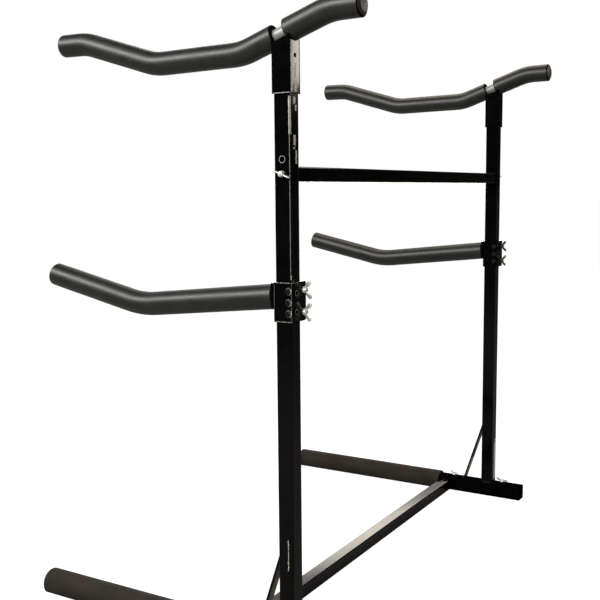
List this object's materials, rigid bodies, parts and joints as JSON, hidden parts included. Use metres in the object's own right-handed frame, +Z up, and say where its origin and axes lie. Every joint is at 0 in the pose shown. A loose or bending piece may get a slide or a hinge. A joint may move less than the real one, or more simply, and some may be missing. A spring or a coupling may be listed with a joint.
{
  "type": "kayak stand",
  "caption": "Free-standing kayak stand: square uprights joined by a crossbar and a floor bar, with foam-sleeved legs, sliding arms and bent top cradles.",
  "frame": {"origin": "on the floor, in the middle of the stand's outline", "axes": "+Z up, -X the way the long arms point, +Y from the near upright to the far one"},
  "size_m": [1.0126, 1.498, 1.5576],
  "materials": {
    "black_paint": "satin powder coat",
    "bright_tube": "bright",
    "zinc": "zinc plated",
    "foam": "closed-cell foam, soft sheen",
    "plastic_cap": "matte"
  },
  "bodies": {
    "frame": {"near_upright": "black_paint", "near_base_sleeve": "black_paint", "near_base_sleeve_cap": "plastic_cap", "near_brace": "black_paint", "near_crossbar_end_plate": "black_paint", "far_upright": "black_paint", "far_base_sleeve": "black_paint", "far_base_sleeve_cap": "plastic_cap", "far_brace": "black_paint", "far_crossbar_end_plate": "black_paint", "spreader_bar": "black_paint", "crossbar": "black_paint"},
    "near_leg": {"near_leg_tube": "bright_tube", "near_leg_foam": "foam", "near_leg_cap": "plastic_cap"},
    "near_arm": {"near_arm_bracket": "black_paint", "near_arm_plate": "black_paint", "near_arm_tube": "bright_tube", "near_arm_foam": "foam", "near_arm_cap": "plastic_cap", "near_bracket_bolt_top": "zinc", "near_bracket_bolt_bottom": "zinc", "near_bracket_set_bolt_1": "black_paint", "near_bracket_set_bolt_2": "black_paint", "near_bracket_set_bolt_3": "black_paint"},
    "near_cradle": {"near_cradle_sleeve": "black_paint", "near_cradle_tube": "bright_tube", "near_cradle_foam_long": "foam", "near_cradle_foam_short": "foam", "near_cradle_cap_long": "plastic_cap", "near_cradle_cap_short": "plastic_cap"},
    "near_wing_nut_top": {"near_bracket_wing_nut_top": "zinc"},
    "near_wing_nut_bottom": {"near_bracket_wing_nut_bottom": "zinc"},
    "near_lock_wing_bolt_front": {"near_lock_wing_bolt_front": "zinc"},
    "near_lock_wing_bolt_back": {"near_lock_wing_bolt_back": "zinc"},
    "near_crossbar_wing_bolt": {"near_crossbar_wing_bolt": "zinc"},
    "far_leg": {"far_leg_tube": "bright_tube", "far_leg_foam": "foam", "far_leg_cap": "plastic_cap"},
    "far_arm": {"far_arm_bracket": "black_paint", "far_arm_plate": "black_paint", "far_arm_tube": "bright_tube", "far_arm_foam": "foam", "far_arm_cap": "plastic_cap", "far_bracket_bolt_top": "zinc", "far_bracket_bolt_bottom": "zinc", "far_bracket_set_bolt_1": "black_paint", "far_bracket_set_bolt_2": "black_paint", "far_bracket_set_bolt_3": "black_paint"},
    "far_cradle": {"far_cradle_sleeve": "black_paint", "far_cradle_tube": "bright_tube", "far_cradle_foam_long": "foam", "far_cradle_foam_short": "foam", "far_cradle_cap_long": "plastic_cap", "far_cradle_cap_short": "plastic_cap"},
    "far_wing_nut_top": {"far_bracket_wing_nut_top": "zinc"},
    "far_wing_nut_bottom": {"far_bracket_wing_nut_bottom": "zinc"},
    "far_lock_wing_bolt_front": {"far_lock_wing_bolt_front": "zinc"},
    "far_lock_wing_bolt_back": {"far_lock_wing_bolt_back": "zinc"},
    "far_crossbar_wing_bolt": {"far_crossbar_wing_bolt": "zinc"}
  },
  "joints": [
    {"name": "near_leg_slide", "type": "slide", "parent": "frame", "child": "near_leg", "axis": [-1, 0, 0], "range_m": [0, 0.15]},
    {"name": "near_arm_slide", "type": "slide", "parent": "frame", "child": "near_arm", "axis": [0, 0, 1], "range_m": [-0.55, 0.22]},
    {"name": "near_cradle_lift", "type": "slide", "parent": "frame", "child": "near_cradle", "axis": [0, 0, 1], "range_m": [0, 0.11]},
    {"name": "near_wing_nut_top_turn", "type": "hinge", "parent": "near_arm", "child": "near_wing_nut_top", "pos_m": [0.3321, -0.68135, 0.902], "axis": [1, 0, 0], "continuous": true},
    {"name": "near_wing_nut_bottom_turn", "type": "hinge", "parent": "near_arm", "child": "near_wing_nut_bottom", "pos_m": [0.3321, -0.68135, 0.85], "axis": [1, 0, 0], "continuous": true},
    {"name": "near_lock_wing_bolt_front_turn", "type": "hinge", "parent": "frame", "child": "near_lock_wing_bolt_front", "pos_m": [0.172, -0.708, 0.06], "axis": [0, 0, 1], "continuous": true},
    {"name": "near_lock_wing_bolt_back_turn", "type": "hinge", "parent": "frame", "child": "near_lock_wing_bolt_back", "pos_m": [0.359, -0.708, 0.06], "axis": [0, 0, 1], "continuous": true},
    {"name": "near_crossbar_wing_bolt_turn", "type": "hinge", "parent": "frame", "child": "near_crossbar_wing_bolt", "pos_m": [0.306, -0.72895, 1.17], "axis": [0, 1, 0], "continuous": true},
    {"name": "far_leg_slide", "type": "slide", "parent": "frame", "child": "far_leg", "axis": [-1, 0, 0], "range_m": [0, 0.15]},
    {"name": "far_arm_slide", "type": "slide", "parent": "frame", "child": "far_arm", "axis": [0, 0, 1], "range_m": [-0.55, 0.2]},
    {"name": "far_cradle_lift", "type": "slide", "parent": "frame", "child": "far_cradle", "axis": [0, 0, 1], "range_m": [0, 0.11]},
    {"name": "far_wing_nut_top_turn", "type": "hinge", "parent": "far_arm", "child": "far_wing_nut_top", "pos_m": [0.3321, 0.73465, 0.926], "axis": [1, 0, 0], "continuous": true},
    {"name": "far_wing_nut_bottom_turn", "type": "hinge", "parent": "far_arm", "child": "far_wing_nut_bottom", "pos_m": [0.3321, 0.73465, 0.874], "axis": [1, 0, 0], "continuous": true},
    {"name": "far_lock_wing_bolt_front_turn", "type": "hinge", "parent": "frame", "child": "far_lock_wing_bolt_front", "pos_m": [0.172, 0.708, 0.06], "axis": [0, 0, 1], "continuous": true},
    {"name": "far_lock_wing_bolt_back_turn", "type": "hinge", "parent": "frame", "child": "far_lock_wing_bolt_back", "pos_m": [0.359, 0.708, 0.06], "axis": [0, 0, 1], "continuous": true},
    {"name": "far_crossbar_wing_bolt_turn", "type": "hinge", "parent": "frame", "child": "far_crossbar_wing_bolt", "pos_m": [0.306, 0.72895, 1.17], "axis": [0, 1, 0], "continuous": true}
  ]
}
